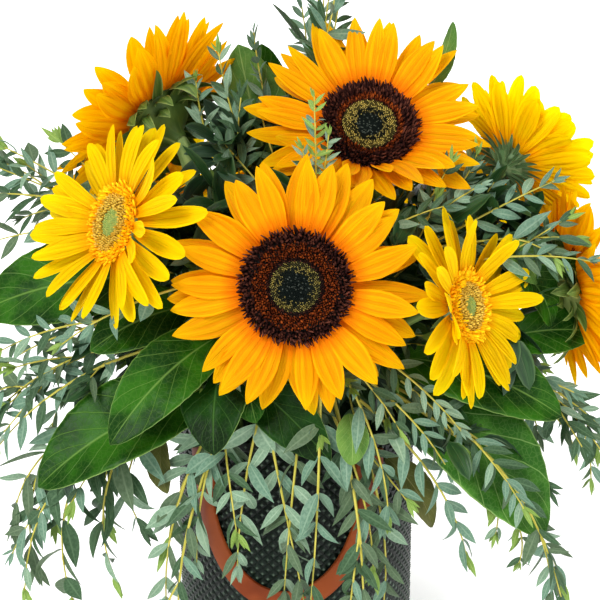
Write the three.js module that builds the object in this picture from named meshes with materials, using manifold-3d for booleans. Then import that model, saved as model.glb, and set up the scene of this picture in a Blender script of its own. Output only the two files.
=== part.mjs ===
// A round arrangement of cut sunflowers and gerberas in a cylindrical pot, with salal
// leaves and eucalyptus sprays. Millimetres, +Z up. The origin is the centre of the pot's
// underside, and a bearing is measured in degrees round the pot's axis, from the front (-Y)
// towards the right (+X).

import * as THREE from "three";
import { mergeVertices } from "three/addons/utils/BufferGeometryUtils.js";
import Module from "manifold-3d";

const wasm = await Module();
wasm.setup();

// ---- driving dimensions -------------------------------------------------------------

const CLEARANCE = 0.35;          // gap kept between touching pieces

const POT = { radius: 74, height: 155, wall: 3, floor: 4, sides: 28 };
const FOAM = { topBelowRim: 14 };
const STEM_FOOT_HEIGHT = 92;     // the stems are pushed this far down into the foam
const STEM = { sides: 6, steps: 5 };

const HANDLE = {
  width: 13, thickness: 2.6,     // flat strap
  standoff: 0.9,                 // from the pot's radius, as both are faceted
  halfSpan: 42,                  // degrees from its middle to each tab
  top: 133, drop: 80,            // height of its ends, and how far it hangs
  steps: 12, endTurn: 0.02,      // pieces along its bow, and where the bow starts, in radians
  tabWidth: 20, tabHeight: 26, tabThickness: 3.4,
};
const HANDLES = [
  { name: "handle_front", bearing: -6 },
  { name: "handle_back", bearing: 174 },
];

// A bloom's radius is measured over its rays. The profiles run from the back of the head
// to its face, as radius and height, in parts of the disc's radius.
const KINDS = {
  sunflower: {
    disc: 31, stemFoot: 4.6, stemTop: 4.4, rayThickness: 6, rayEdge: 2.2, cup: 0.10,
    headColor: 0x3a1d14, rayColor: 0xffb012,
    profile: [[0, -0.62], [0.3, -0.62], [1, -0.14], [0.9, 0.17], [0, 0.1]],
  },
  gerbera: {
    disc: 19, stemFoot: 3.2, stemTop: 2.8, rayThickness: 4, rayEdge: 1.8, cup: 0.04,
    headColor: 0x9a9a30, rayColor: 0xffd200,
    profile: [[0, -0.74], [0.3, -0.74], [1, -0.14], [0.85, 0.22], [0, 0.2]],
  },
};

// at: bearing, reach and height of the disc; face: bearing and rise of the way it looks;
// foot: bearing and reach of its stem in the foam; climb: how far the stem rises before it
// leans; neck: how far behind the head it has turned to meet it.
const BLOOMS = [
  { name: "sunflower_front", kind: "sunflower", radius: 71, at: [0, 112, 266], face: [0, 18],
    foot: [-4, 40], climb: 110, neck: 50 },
  { name: "sunflower_top", kind: "sunflower", radius: 70, at: [60, 50, 338], face: [6, 41],
    foot: [20, 12], climb: 130, neck: 60 },
  { name: "sunflower_left", kind: "sunflower", radius: 69, at: [-97, 88, 335], face: [-127, 27],
    foot: [-94, 58], climb: 185, neck: 22 },
  { name: "sunflower_right", kind: "sunflower", radius: 62, at: [85, 168, 237], face: [104, 6],
    foot: [88, 46], climb: 90, neck: 45 },
  { name: "sunflower_back", kind: "sunflower", radius: 68, at: [168, 98, 292], face: [176, 33],
    foot: [172, 28], climb: 120, neck: 60 },
  { name: "gerbera_left", kind: "gerbera", radius: 60, at: [-52, 131, 294], face: [-56, 22],
    foot: [-44, 48], climb: 130, neck: 50 },
  { name: "gerbera_right", kind: "gerbera", radius: 55, at: [46, 136, 249], face: [57, 16],
    foot: [42, 48], climb: 95, neck: 45 },
  { name: "gerbera_far_right", kind: "gerbera", radius: 54, at: [94, 134, 309], face: [133, 22],
    foot: [118, 40], climb: 130, neck: 45 },
  { name: "gerbera_back_left", kind: "gerbera", radius: 56, at: [-137, 138, 262], face: [-138, 24],
    foot: [-140, 44], climb: 105, neck: 50 },
  { name: "gerbera_back_right", kind: "gerbera", radius: 54, at: [132, 146, 236], face: [136, 18],
    foot: [144, 46], climb: 90, neck: 50 },
];

// A ring of rays swells and narrows by `tipDepth` at each of its tips, by `drift` in three
// broad waves, and rises and falls by `sway` millimetres.
const RAY_RING = { sides: 20, tips: 10, tipDepth: 0.045, drift: 0.03, sway: 2, headSides: 12 };

// from and to: bearing, reach and height of a leaf's or a mass's two ends; arch: how far its
// middle bows outwards; roll: how far a leaf is turned about its midrib.
const LEAF = { thickness: 1.2, fold: 0.3, narrowest: 0.05, crown: 0.88, fullness: 0.85, rows: 5 };
const LEAVES = [
  { name: "leaf_left", from: [-70, 92, 246], to: [-83, 194, 222], width: 50, arch: 8, roll: -48 },
  { name: "leaf_left_inner", from: [-48, 78, 236], to: [-55, 145, 218], width: 36, arch: 6, roll: -40 },
  { name: "leaf_front_left", from: [-29, 80, 226], to: [-41, 160, 175], width: 38, arch: 10, roll: -34 },
  { name: "leaf_low_left", from: [-38, 82, 184], to: [-58, 178, 137], width: 46, arch: 12, roll: -32 },
  { name: "leaf_front", from: [-31, 80, 212], to: [-22, 124, 166], width: 40, arch: 8, roll: -8 },
  { name: "leaf_front_low", from: [-24, 80, 200], to: [11, 107, 158], width: 32, arch: 8, roll: 24 },
  { name: "leaf_right", from: [48, 82, 204], to: [66, 173, 172], width: 44, arch: 9, roll: 34 },
  { name: "leaf_low_right", from: [46, 78, 190], to: [60, 172, 102], width: 50, arch: 12, roll: 38 },
  { name: "leaf_crest", from: [-150, 22, 286], to: [-142, 58, 374], width: 46, arch: 4, roll: -38 },
  { name: "leaf_back_left", from: [-172, 84, 212], to: [-168, 176, 176], width: 44, arch: 10, roll: -16 },
  { name: "leaf_back_right", from: [112, 90, 202], to: [112, 184, 150], width: 42, arch: 12, roll: 20 },
];

// A mass is an uneven lump: its half width and half depth. It swells by `broad` and `fine`
// parts of its size, as its seed has it.
const SWELL = { broad: 0.1, fine: 0.08 };
const MASSES = [
  { name: "foliage_core", from: [0, -100, 216], to: [0, 98, 220],
    width: 98, depth: 80, arch: 0, seed: 1, detail: 2 },
  { name: "eucalyptus_crest", from: [150, 12, 284], to: [120, 24, 418],
    width: 34, depth: 24, arch: 0, seed: 2 },
  { name: "eucalyptus_centre", from: [7, 58, 290], to: [10, 72, 367],
    width: 15, depth: 11, arch: 0, seed: 3 },
  { name: "eucalyptus_left_high", from: [-86, 84, 258], to: [-92, 190, 308],
    width: 36, depth: 34, arch: 4, seed: 4 },
  { name: "eucalyptus_left_low", from: [-68, 84, 206], to: [-76, 190, 160],
    width: 42, depth: 40, arch: 14, seed: 5 },
  { name: "eucalyptus_corner_left", from: [-58, 80, 176], to: [-68, 180, 56],
    width: 36, depth: 24, arch: 30, seed: 6 },
  { name: "eucalyptus_pot_left", from: [-24, 82, 186], to: [-36, 118, 28],
    width: 40, depth: 15, arch: 22, seed: 7 },
  { name: "eucalyptus_pot_right", from: [16, 82, 186], to: [20, 112, 26],
    width: 38, depth: 15, arch: 22, seed: 8 },
  { name: "eucalyptus_corner_right", from: [42, 70, 190], to: [57, 188, 70],
    width: 36, depth: 24, arch: 28, seed: 9 },
  { name: "eucalyptus_right_low", from: [82, 84, 196], to: [80, 194, 132],
    width: 38, depth: 32, arch: 16, seed: 10 },
  { name: "eucalyptus_right_high", from: [44, 66, 262], to: [74, 172, 276],
    width: 30, depth: 24, arch: 6, seed: 11 },
  { name: "eucalyptus_back_left", from: [-118, 84, 214], to: [-120, 190, 190],
    width: 44, depth: 40, arch: 12, seed: 12 },
  { name: "eucalyptus_back_right", from: [146, 84, 206], to: [140, 190, 184],
    width: 44, depth: 36, arch: 10, seed: 13 },
  { name: "eucalyptus_pot_back", from: [-160, 82, 186], to: [-162, 120, 40],
    width: 44, depth: 16, arch: 24, seed: 14 },
  { name: "eucalyptus_pot_far_back", from: [150, 82, 186], to: [152, 126, 48],
    width: 44, depth: 16, arch: 26, seed: 15 },
];

const FINISH = {
  pot: { color: 0x3c4845, roughness: 0.5 },
  strap: { color: 0xb4592f, roughness: 0.6 },
  foam: { color: 0x2f5a35, roughness: 0.9 },
  stem: { color: 0x6f9440, roughness: 0.6 },
  leaf: { color: 0x2f6b2c, roughness: 0.35 },
  spray: { color: 0x6c8f7c, roughness: 0.6 },
};

// ---- places and frames --------------------------------------------------------------

const { clamp, degToRad, lerp } = THREE.MathUtils;
const UP = new THREE.Vector3(0, 0, 1);

function facing(bearing, rise) {
  const turn = degToRad(bearing);
  const lift = degToRad(rise);
  return new THREE.Vector3(
    Math.sin(turn) * Math.cos(lift), -Math.cos(turn) * Math.cos(lift), Math.sin(lift));
}

function placeAt(bearing, reach, height) {
  return facing(bearing, 0).multiplyScalar(reach).setZ(height);
}

// Moves every vertex of a geometry to the point that `to` gives for it.
function reshape(geometry, to) {
  const position = geometry.getAttribute("position");
  const vertex = new THREE.Vector3();
  for (let i = 0; i < position.count; i += 1) {
    const moved = to(vertex.fromBufferAttribute(position, i));
    position.setXYZ(i, moved.x, moved.y, moved.z);
  }
  return geometry;
}

// A path between two ends that bows by `arch` away from the pot's axis, or upwards if it
// lies flat, with the way across it and the way out of it, which `roll` turns about it.
function archedPath(from, to, arch, roll = 0) {
  const start = placeAt(...from);
  const end = placeAt(...to);
  const along = end.clone().sub(start).normalize();
  const middle = start.clone().lerp(end, 0.5);
  const out = middle.clone().setZ(0).normalize().add(UP);
  const across = new THREE.Vector3().crossVectors(out, along).normalize();
  const normal = new THREE.Vector3().crossVectors(along, across);
  middle.addScaledVector(normal, 2 * arch);
  across.applyAxisAngle(along, degToRad(roll));
  normal.applyAxisAngle(along, degToRad(roll));
  return { path: new THREE.QuadraticBezierCurve3(start, middle, end), across, normal };
}

// ---- solids -------------------------------------------------------------------------

// A closed geometry as a solid, turned right side out.
function solidOf(geometry) {
  const bare = geometry.clone();
  for (const name of ["normal", "uv"]) bare.deleteAttribute(name);
  const merged = mergeVertices(bare, 1e-4);
  const vertProperties = merged.getAttribute("position").array;
  const triVerts = new Uint32Array(merged.getIndex().array);
  const build = () => new wasm.Manifold(new wasm.Mesh({ numProp: 3, vertProperties, triVerts }));
  const solid = build();
  if (solid.volume() > 0) return solid;
  for (let i = 0; i < triVerts.length; i += 3) {
    [triVerts[i], triVerts[i + 1]] = [triVerts[i + 1], triVerts[i]];
  }
  return build();
}

function geometryOf(solid) {
  const mesh = solid.getMesh();
  const geometry = new THREE.BufferGeometry();
  geometry.setAttribute("position", new THREE.BufferAttribute(new Float32Array(mesh.vertProperties), 3));
  geometry.setIndex(new THREE.BufferAttribute(new Uint32Array(mesh.triVerts), 1));
  geometry.computeVertexNormals();
  return geometry;
}

// The outward normal of the stretch between two profile points.
function profileNormal([r1, h1], [r2, h2]) {
  return new THREE.Vector2(h2 - h1, r1 - r2).normalize();
}

// A profile of [radius, height] points, from the bottom of the axis round the outside to its
// top, turned about the Z axis and `grow` larger all round.
function turned(profile, sides, grow = 0) {
  const points = profile.map(([radius, height], i) => {
    const before = i > 0 ? profileNormal(profile[i - 1], profile[i]) : null;
    const after = i + 1 < profile.length ? profileNormal(profile[i], profile[i + 1]) : null;
    if (!before || !after) return new THREE.Vector2(0, height + grow / (before ?? after).y);
    const shift = before.clone().add(after).multiplyScalar(grow / (1 + before.dot(after)));
    return shift.add(new THREE.Vector2(radius, height));
  });
  return new THREE.LatheGeometry(points, sides).rotateX(Math.PI / 2);
}

function potSolid(grow) {
  const { radius, height, wall, floor, sides } = POT;
  const inner = radius - wall;
  return solidOf(turned(
    [[0, 0], [radius, 0], [radius, height], [inner, height], [inner, floor], [0, floor]], sides, grow));
}

function foamSolid(grow) {
  const radius = POT.radius - POT.wall - 2 * CLEARANCE;
  const low = POT.floor + CLEARANCE;
  const high = POT.height - FOAM.topBelowRim;
  return solidOf(turned([[0, low], [radius, low], [radius, high], [0, high]], POT.sides, grow));
}

// A flat patch wrapped on the pot's wall: `to` gives each point's bearing and height.
function wrapped(stretch, steps, thickness, grow, to) {
  const patch = new THREE.BoxGeometry(1, 1, 1, steps, 1, 1);
  const face = POT.radius + HANDLE.standoff - grow;
  return solidOf(reshape(patch, (v) => {
    const { bearing, height } = to(v.x * stretch, v.y);
    return placeAt(bearing, v.z > 0 ? face + thickness + 2 * grow : face, height);
  }));
}

function handleSolid({ bearing }, grow) {
  const { width, thickness, halfSpan, top, drop, steps, endTurn } = HANDLE;
  const { tabWidth, tabHeight, tabThickness } = HANDLE;
  const degreesPerMm = 180 / (Math.PI * POT.radius);
  const strap = wrapped(Math.PI, steps, thickness, grow, (run, across) => {
    const turn = clamp(run + Math.PI / 2, endTurn, Math.PI - endTurn);
    const point = new THREE.Vector2(
      -halfSpan * Math.cos(turn) / degreesPerMm, top - drop * Math.sin(turn));
    const way = new THREE.Vector2(
      halfSpan * Math.sin(turn) / degreesPerMm, -drop * Math.cos(turn)).normalize();
    const side = across * (width + 2 * grow);
    return {
      bearing: bearing + (point.x - way.y * side) * degreesPerMm,
      height: point.y + way.x * side,
    };
  });
  const tab = (end) => wrapped(1, 2, tabThickness, grow, (run, across) => ({
    bearing: bearing + end * halfSpan + run * (tabWidth + 2 * grow) * degreesPerMm,
    height: top + across * (tabHeight + 2 * grow),
  }));
  return strap.add(tab(-1)).add(tab(1));
}

function bloomFrame({ at, face }) {
  const turn = new THREE.Quaternion().setFromUnitVectors(UP, facing(...face));
  return new THREE.Matrix4().compose(placeAt(...at), turn, new THREE.Vector3(1, 1, 1));
}

function headSolid(bloom, grow) {
  const { disc, profile } = KINDS[bloom.kind];
  const scaled = profile.map(([radius, height]) => [radius * disc, height * disc]);
  return solidOf(turned(scaled, RAY_RING.headSides, grow).applyMatrix4(bloomFrame(bloom)));
}

// The ring of rays: thick at the disc, thin at a wavy edge, and slightly cupped.
function raySolid(bloom, grow) {
  const { disc, rayThickness, rayEdge, cup } = KINDS[bloom.kind];
  const { sides, tips, tipDepth, drift, sway } = RAY_RING;
  const inner = (disc + CLEARANCE) / Math.cos(Math.PI / sides);
  const outer = bloom.radius + grow;
  const atRoot = rayThickness / 2 + grow;
  const atEdge = rayEdge / 2 + grow;
  const section = [
    [inner, -atRoot], [outer, -atEdge], [outer, atEdge], [inner, atRoot], [inner, -atRoot],
  ].map(([radius, height]) => new THREE.Vector2(radius, height));
  const ring = new THREE.LatheGeometry(section, sides).rotateX(Math.PI / 2);
  reshape(ring, (v) => {
    const radius = Math.hypot(v.x, v.y);
    const angle = Math.atan2(v.y, v.x);
    const spread = (radius - inner) / (outer - inner);
    const notch = tipDepth * (1 - Math.cos(tips * angle)) + drift * Math.cos(3 * angle + 1) ** 2;
    const lift = spread * (cup * bloom.radius + sway * Math.sin(2 * angle + bloom.radius));
    const reach = 1 - spread * notch;
    return new THREE.Vector3(v.x * reach, v.y * reach, v.z + lift);
  });
  return solidOf(ring.applyMatrix4(bloomFrame(bloom)));
}

// One tapering stem, from its foot in the foam to just behind the head that it carries.
function stemSolid(bloom, grow) {
  const { disc, profile, stemFoot, stemTop } = KINDS[bloom.kind];
  const look = facing(...bloom.face);
  const back = disc * -profile[0][1] + CLEARANCE;
  const neck = placeAt(...bloom.at).addScaledVector(look, -back + grow);
  const foot = placeAt(...bloom.foot, STEM_FOOT_HEIGHT - grow);
  const path = new THREE.CubicBezierCurve3(
    foot,
    foot.clone().addScaledVector(UP, bloom.climb),
    neck.clone().addScaledVector(look, -bloom.neck),
    neck,
  );
  const { sides, steps } = STEM;
  const frames = path.computeFrenetFrames(steps, false);
  const rod = new THREE.CylinderGeometry(1, 1, 1, sides, steps);
  return solidOf(reshape(rod, (v) => {
    const t = v.y + 0.5;
    const ring = Math.round(t * steps);
    const radius = lerp(stemFoot, stemTop, t) + grow;
    return path.getPointAt(t)
      .addScaledVector(frames.binormals[ring], v.x * radius)
      .addScaledVector(frames.normals[ring], v.z * radius);
  }));
}

// A broad leaf's width along its midrib, as a share of its widest.
function leafOutline(t) {
  return Math.max(LEAF.narrowest, Math.sin(Math.PI * t ** LEAF.crown) ** LEAF.fullness);
}

function leafSolid(leaf, grow) {
  const { path, across, normal } = archedPath(leaf.from, leaf.to, leaf.arch, leaf.roll);
  const blade = new THREE.BoxGeometry(1, 1, 1, LEAF.rows, 2, 1);
  return solidOf(reshape(blade, (v) => {
    const t = v.x + 0.5;
    const half = leafOutline(t) * leaf.width / 2 + grow;
    const fold = Math.abs(v.y) * half * LEAF.fold;
    return path.getPoint(t)
      .addScaledVector(path.getTangent(t), 2 * v.x * grow)
      .addScaledVector(across, 2 * v.y * half)
      .addScaledVector(normal, fold + v.z * (LEAF.thickness + 2 * grow));
  }));
}

// An uneven, closed lump of foliage along an arched path.
function massSolid({ from, to, width, depth, arch, seed, detail = 1 }, grow) {
  const { path, across, normal } = archedPath(from, to, arch);
  const lump = new THREE.IcosahedronGeometry(1, detail);
  return solidOf(reshape(lump, (v) => {
    const t = (v.x + 1) / 2;
    const uneven = 1 + SWELL.broad * Math.sin(3 * v.y + 2 * v.x + seed)
      + SWELL.fine * Math.sin(4 * v.z - 3 * v.x + 2 * seed);
    return path.getPoint(t)
      .addScaledVector(path.getTangent(t), v.x * grow)
      .addScaledVector(across, v.y * (width * uneven + grow))
      .addScaledVector(normal, v.z * (depth * uneven + grow));
  }));
}

// ---- assembly -----------------------------------------------------------------------

const group = new THREE.Group();
const placed = [];

function boxesMeet(a, b) {
  return [0, 1, 2].every((axis) => a.min[axis] < b.max[axis] && b.min[axis] < a.max[axis]);
}

// Adds a piece, cut clear of every piece that came before it.
function addPiece(name, finish, make) {
  let solid = make(0);
  const reach = solid.boundingBox();
  for (const earlier of placed) {
    if (boxesMeet(reach, earlier.box)) solid = solid.subtract(earlier.grown);
  }
  const [largest] = solid.decompose().sort((a, b) => b.volume() - a.volume());
  const grown = make(CLEARANCE);
  placed.push({ grown, box: grown.boundingBox() });
  const mesh = new THREE.Mesh(
    geometryOf(largest), new THREE.MeshStandardMaterial({ ...finish, metalness: 0 }));
  mesh.name = name;
  group.add(mesh);
}

addPiece("pot", FINISH.pot, potSolid);
for (const handle of HANDLES) {
  addPiece(handle.name, FINISH.strap, (grow) => handleSolid(handle, grow));
}
for (const bloom of BLOOMS) {
  addPiece(`${bloom.name}_stem`, FINISH.stem, (grow) => stemSolid(bloom, grow));
}
addPiece("foam", FINISH.foam, foamSolid);
for (const bloom of BLOOMS) {
  const finish = { color: KINDS[bloom.kind].headColor, roughness: 0.8 };
  addPiece(`${bloom.name}_head`, finish, (grow) => headSolid(bloom, grow));
}
for (const bloom of BLOOMS) {
  const finish = { color: KINDS[bloom.kind].rayColor, roughness: 0.5 };
  addPiece(`${bloom.name}_rays`, finish, (grow) => raySolid(bloom, grow));
}
for (const leaf of LEAVES) {
  addPiece(leaf.name, FINISH.leaf, (grow) => leafSolid(leaf, grow));
}
for (const mass of MASSES) {
  addPiece(mass.name, FINISH.spray, (grow) => massSolid(mass, grow));
}

export default group;
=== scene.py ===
"""Cut sunflowers, gerberas, broad leaves and eucalyptus in a lattice pot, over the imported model."""
import math

import bmesh
import bpy
import numpy as np
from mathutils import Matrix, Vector


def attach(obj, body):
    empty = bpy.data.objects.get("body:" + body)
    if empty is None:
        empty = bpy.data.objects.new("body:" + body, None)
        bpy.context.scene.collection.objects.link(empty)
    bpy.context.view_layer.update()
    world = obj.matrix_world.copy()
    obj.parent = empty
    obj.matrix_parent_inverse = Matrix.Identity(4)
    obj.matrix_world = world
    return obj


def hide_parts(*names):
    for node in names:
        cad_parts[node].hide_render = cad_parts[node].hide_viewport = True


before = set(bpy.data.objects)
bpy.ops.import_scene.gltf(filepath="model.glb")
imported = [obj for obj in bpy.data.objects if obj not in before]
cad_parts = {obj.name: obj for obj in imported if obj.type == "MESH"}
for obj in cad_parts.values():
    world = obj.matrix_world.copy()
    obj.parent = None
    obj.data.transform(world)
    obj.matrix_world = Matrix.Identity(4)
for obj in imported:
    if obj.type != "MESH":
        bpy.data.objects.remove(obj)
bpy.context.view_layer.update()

MM = 0.001
UP = np.array([0.0, 0.0, 1.0])
GOLDEN_TURN = math.pi * (3 - math.sqrt(5))

# ---- sizes, in millimetres and degrees ----
# A bearing goes round the pot's axis from the front, towards the right.

# The pot: pressed from one height to another, between a lip and a foot of rings (radius, height)
POT = dict(
    radius=74.0, valley=73.5, relief=1.5, pressed=(4.0, 148.0), columns=68, rows=22,
    lip=[
        (74.1, 148.6), (74.3, 149.4), (74.3, 153.8), (73.9, 154.7), (73.2, 155.0), (71.9, 155.0),
        (71.2, 154.6), (71.0, 153.8), (71.0, 5.2), (69.8, 4.0)],
    foot=[(73.9, 3.2), (73.9, 1.0), (73.1, 0.2), (71.5, 0.0)])
# The straps: half_span is in degrees to each side, and an ear is a width and a height
STRAP = dict(
    width=13.0, thickness=2.6, edge=0.7, standoff=0.9,
    half_span=42.0, top=133.0, drop=80.0, ear=(20.0, 26.0))
LEAF_THICKNESS = 0.5
STEM_FOOT_HEIGHT = 92.0
CORE_CENTRE = np.array([0.0, 0.0, 216.0])
CORE_HALF = np.array([96.0, 96.0, 76.0])
CORE_LEAVES = 420
HEART_SPRIGS = 150
SEEDS = dict(rays=100, heads=200, broad=500, between=560, sprays=900, core=77, heart=78)
# The camera looks down at a point (aside, height) and sees so far to each side of it
CAMERA = dict(distance=1100.0, down=18.0, aim=(2.6, 222.0), half_view=186.8, sensor=36.0)
# Lamps: name, place in metres, spread, power
LAMPS = [
    ("key", (-0.85, -1.4, 1.6), 22, 2.6),
    ("fill", (1.5, -1.3, 0.9), 50, 1.0),
    ("back", (0.0, 1.5, 1.4), 50, 2.0),
]

# name: kind, radius, at (bearing, reach, height), face (bearing, rise), foot (bearing, reach), climb, neck
BLOOMS = {
    "sunflower_front": ("sunflower", 71, (0, 112, 266), (0, 18), (-4, 40), 110, 50),
    "sunflower_top": ("sunflower", 70, (60, 50, 338), (6, 41), (20, 12), 130, 60),
    "sunflower_left": ("sunflower", 69, (-97, 88, 335), (-127, 27), (-94, 58), 185, 22),
    "sunflower_right": ("sunflower", 62, (85, 168, 237), (104, 6), (88, 46), 90, 45),
    "sunflower_back": ("sunflower", 68, (168, 98, 292), (176, 33), (172, 28), 120, 60),
    "gerbera_left": ("gerbera", 60, (-52, 131, 294), (-56, 22), (-44, 48), 130, 50),
    "gerbera_right": ("gerbera", 55, (46, 136, 249), (57, 16), (42, 48), 95, 45),
    "gerbera_far_right": ("gerbera", 54, (94, 134, 309), (133, 22), (118, 40), 130, 45),
    "gerbera_back_left": ("gerbera", 56, (-137, 138, 262), (-138, 24), (-140, 44), 105, 50),
    "gerbera_back_right": ("gerbera", 54, (132, 146, 236), (136, 18), (144, 46), 90, 50),
}

# name: from and to (bearing, reach, height), width, arch, roll
BROAD_LEAVES = {
    "leaf_left": ((-70, 92, 246), (-83, 194, 222), 50, 8, -48),
    "leaf_left_inner": ((-48, 78, 236), (-55, 145, 218), 36, 6, -40),
    "leaf_front_left": ((-29, 80, 226), (-41, 160, 175), 38, 10, -34),
    "leaf_low_left": ((-38, 82, 184), (-58, 178, 137), 52, 12, -24),
    "leaf_front": ((-31, 80, 212), (-22, 124, 166), 40, 8, -8),
    "leaf_front_low": ((-24, 80, 200), (11, 107, 158), 32, 8, 24),
    "leaf_right": ((48, 82, 204), (66, 173, 172), 44, 9, 34),
    "leaf_low_right": ((46, 78, 190), (60, 172, 102), 60, 12, 30),
    "leaf_crest": ((-150, 22, 286), (-142, 58, 374), 46, 4, -38),
    "leaf_back_left": ((-172, 84, 212), (-168, 176, 176), 44, 10, -16),
    "leaf_back_right": ((112, 90, 202), (112, 184, 150), 42, 12, 20),
}

# Smaller broad leaves that fill in between: from, to, width, arch, roll, look
FILL_LEAVES = [
    ((66, 130, 214), (80, 184, 212), 30, 5, 30, "top"),
    ((150, 40, 350), (-160, 44, 400), 20, 2, -40, "top"),
    ((96, 80, 350), (104, 98, 392), 15, 2, 60, "under"),
    ((-152, 40, 306), (-156, 52, 374), 42, 3, -14, "top"),
    ((34, 94, 150), (46, 114, 104), 22, 6, 10, "olive"),
    ((-50, 104, 158), (-44, 110, 126), 18, 4, 0, "olive"),
    ((18, 100, 184), (17, 111, 156), 19, 4, 10, "under"),
    ((66, 140, 262), (72, 160, 222), 28, 5, 30, "top"),
    ((62, 130, 272), (70, 152, 250), 24, 5, 30, "under"),
    ((74, 160, 262), (80, 176, 234), 24, 5, 30, "top"),
    ((-20, 86, 210), (-12, 108, 182), 28, 5, 10, "top"),
    ((-80, 96, 262), (-96, 140, 254), 32, 5, 0, "top"),
    ((118, 100, 250), (112, 150, 262), 30, 5, 10, "top"),
    ((178, 90, 240), (176, 140, 226), 32, 5, 0, "top"),
    ((-122, 96, 240), (-116, 152, 222), 30, 5, 0, "top"),
    ((150, 96, 240), (156, 150, 214), 30, 5, 0, "under"),
]

# name: from, to, half width, half depth, arch, region, number of side sprigs
MASSES = {
    "eucalyptus_crest": ((150, 12, 284), (120, 24, 418), 34, 24, 0, "top", 6),
    "eucalyptus_centre": ((7, 58, 290), (10, 72, 367), 15, 11, 0, "top", 0),
    "eucalyptus_left_high": ((-86, 84, 258), (-92, 190, 308), 36, 34, 4, "left", 5),
    "eucalyptus_left_low": ((-68, 84, 206), (-76, 190, 160), 42, 40, 14, "left", 7),
    "eucalyptus_corner_left": ((-58, 80, 176), (-68, 180, 56), 36, 24, 30, "left", 2),
    "eucalyptus_pot_left": ((-24, 82, 186), (-36, 118, 28), 40, 15, 22, "front", 2),
    "eucalyptus_pot_right": ((16, 82, 186), (20, 112, 26), 38, 15, 22, "front", 2),
    "eucalyptus_corner_right": ((42, 70, 190), (57, 188, 70), 36, 24, 28, "right", 3),
    "eucalyptus_right_low": ((82, 84, 196), (80, 194, 132), 38, 32, 16, "right", 6),
    "eucalyptus_right_high": ((44, 66, 262), (74, 172, 276), 30, 24, 6, "right", 6),
    "eucalyptus_back_left": ((-118, 84, 214), (-120, 190, 190), 44, 40, 12, "back", 15),
    "eucalyptus_back_right": ((146, 84, 206), (140, 190, 184), 44, 36, 10, "back", 15),
    "eucalyptus_pot_back": ((-160, 82, 186), (-162, 120, 40), 44, 16, 24, "back", 13),
    "eucalyptus_pot_far_back": ((150, 82, 186), (152, 126, 48), 44, 16, 26, "back", 13),
}

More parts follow.
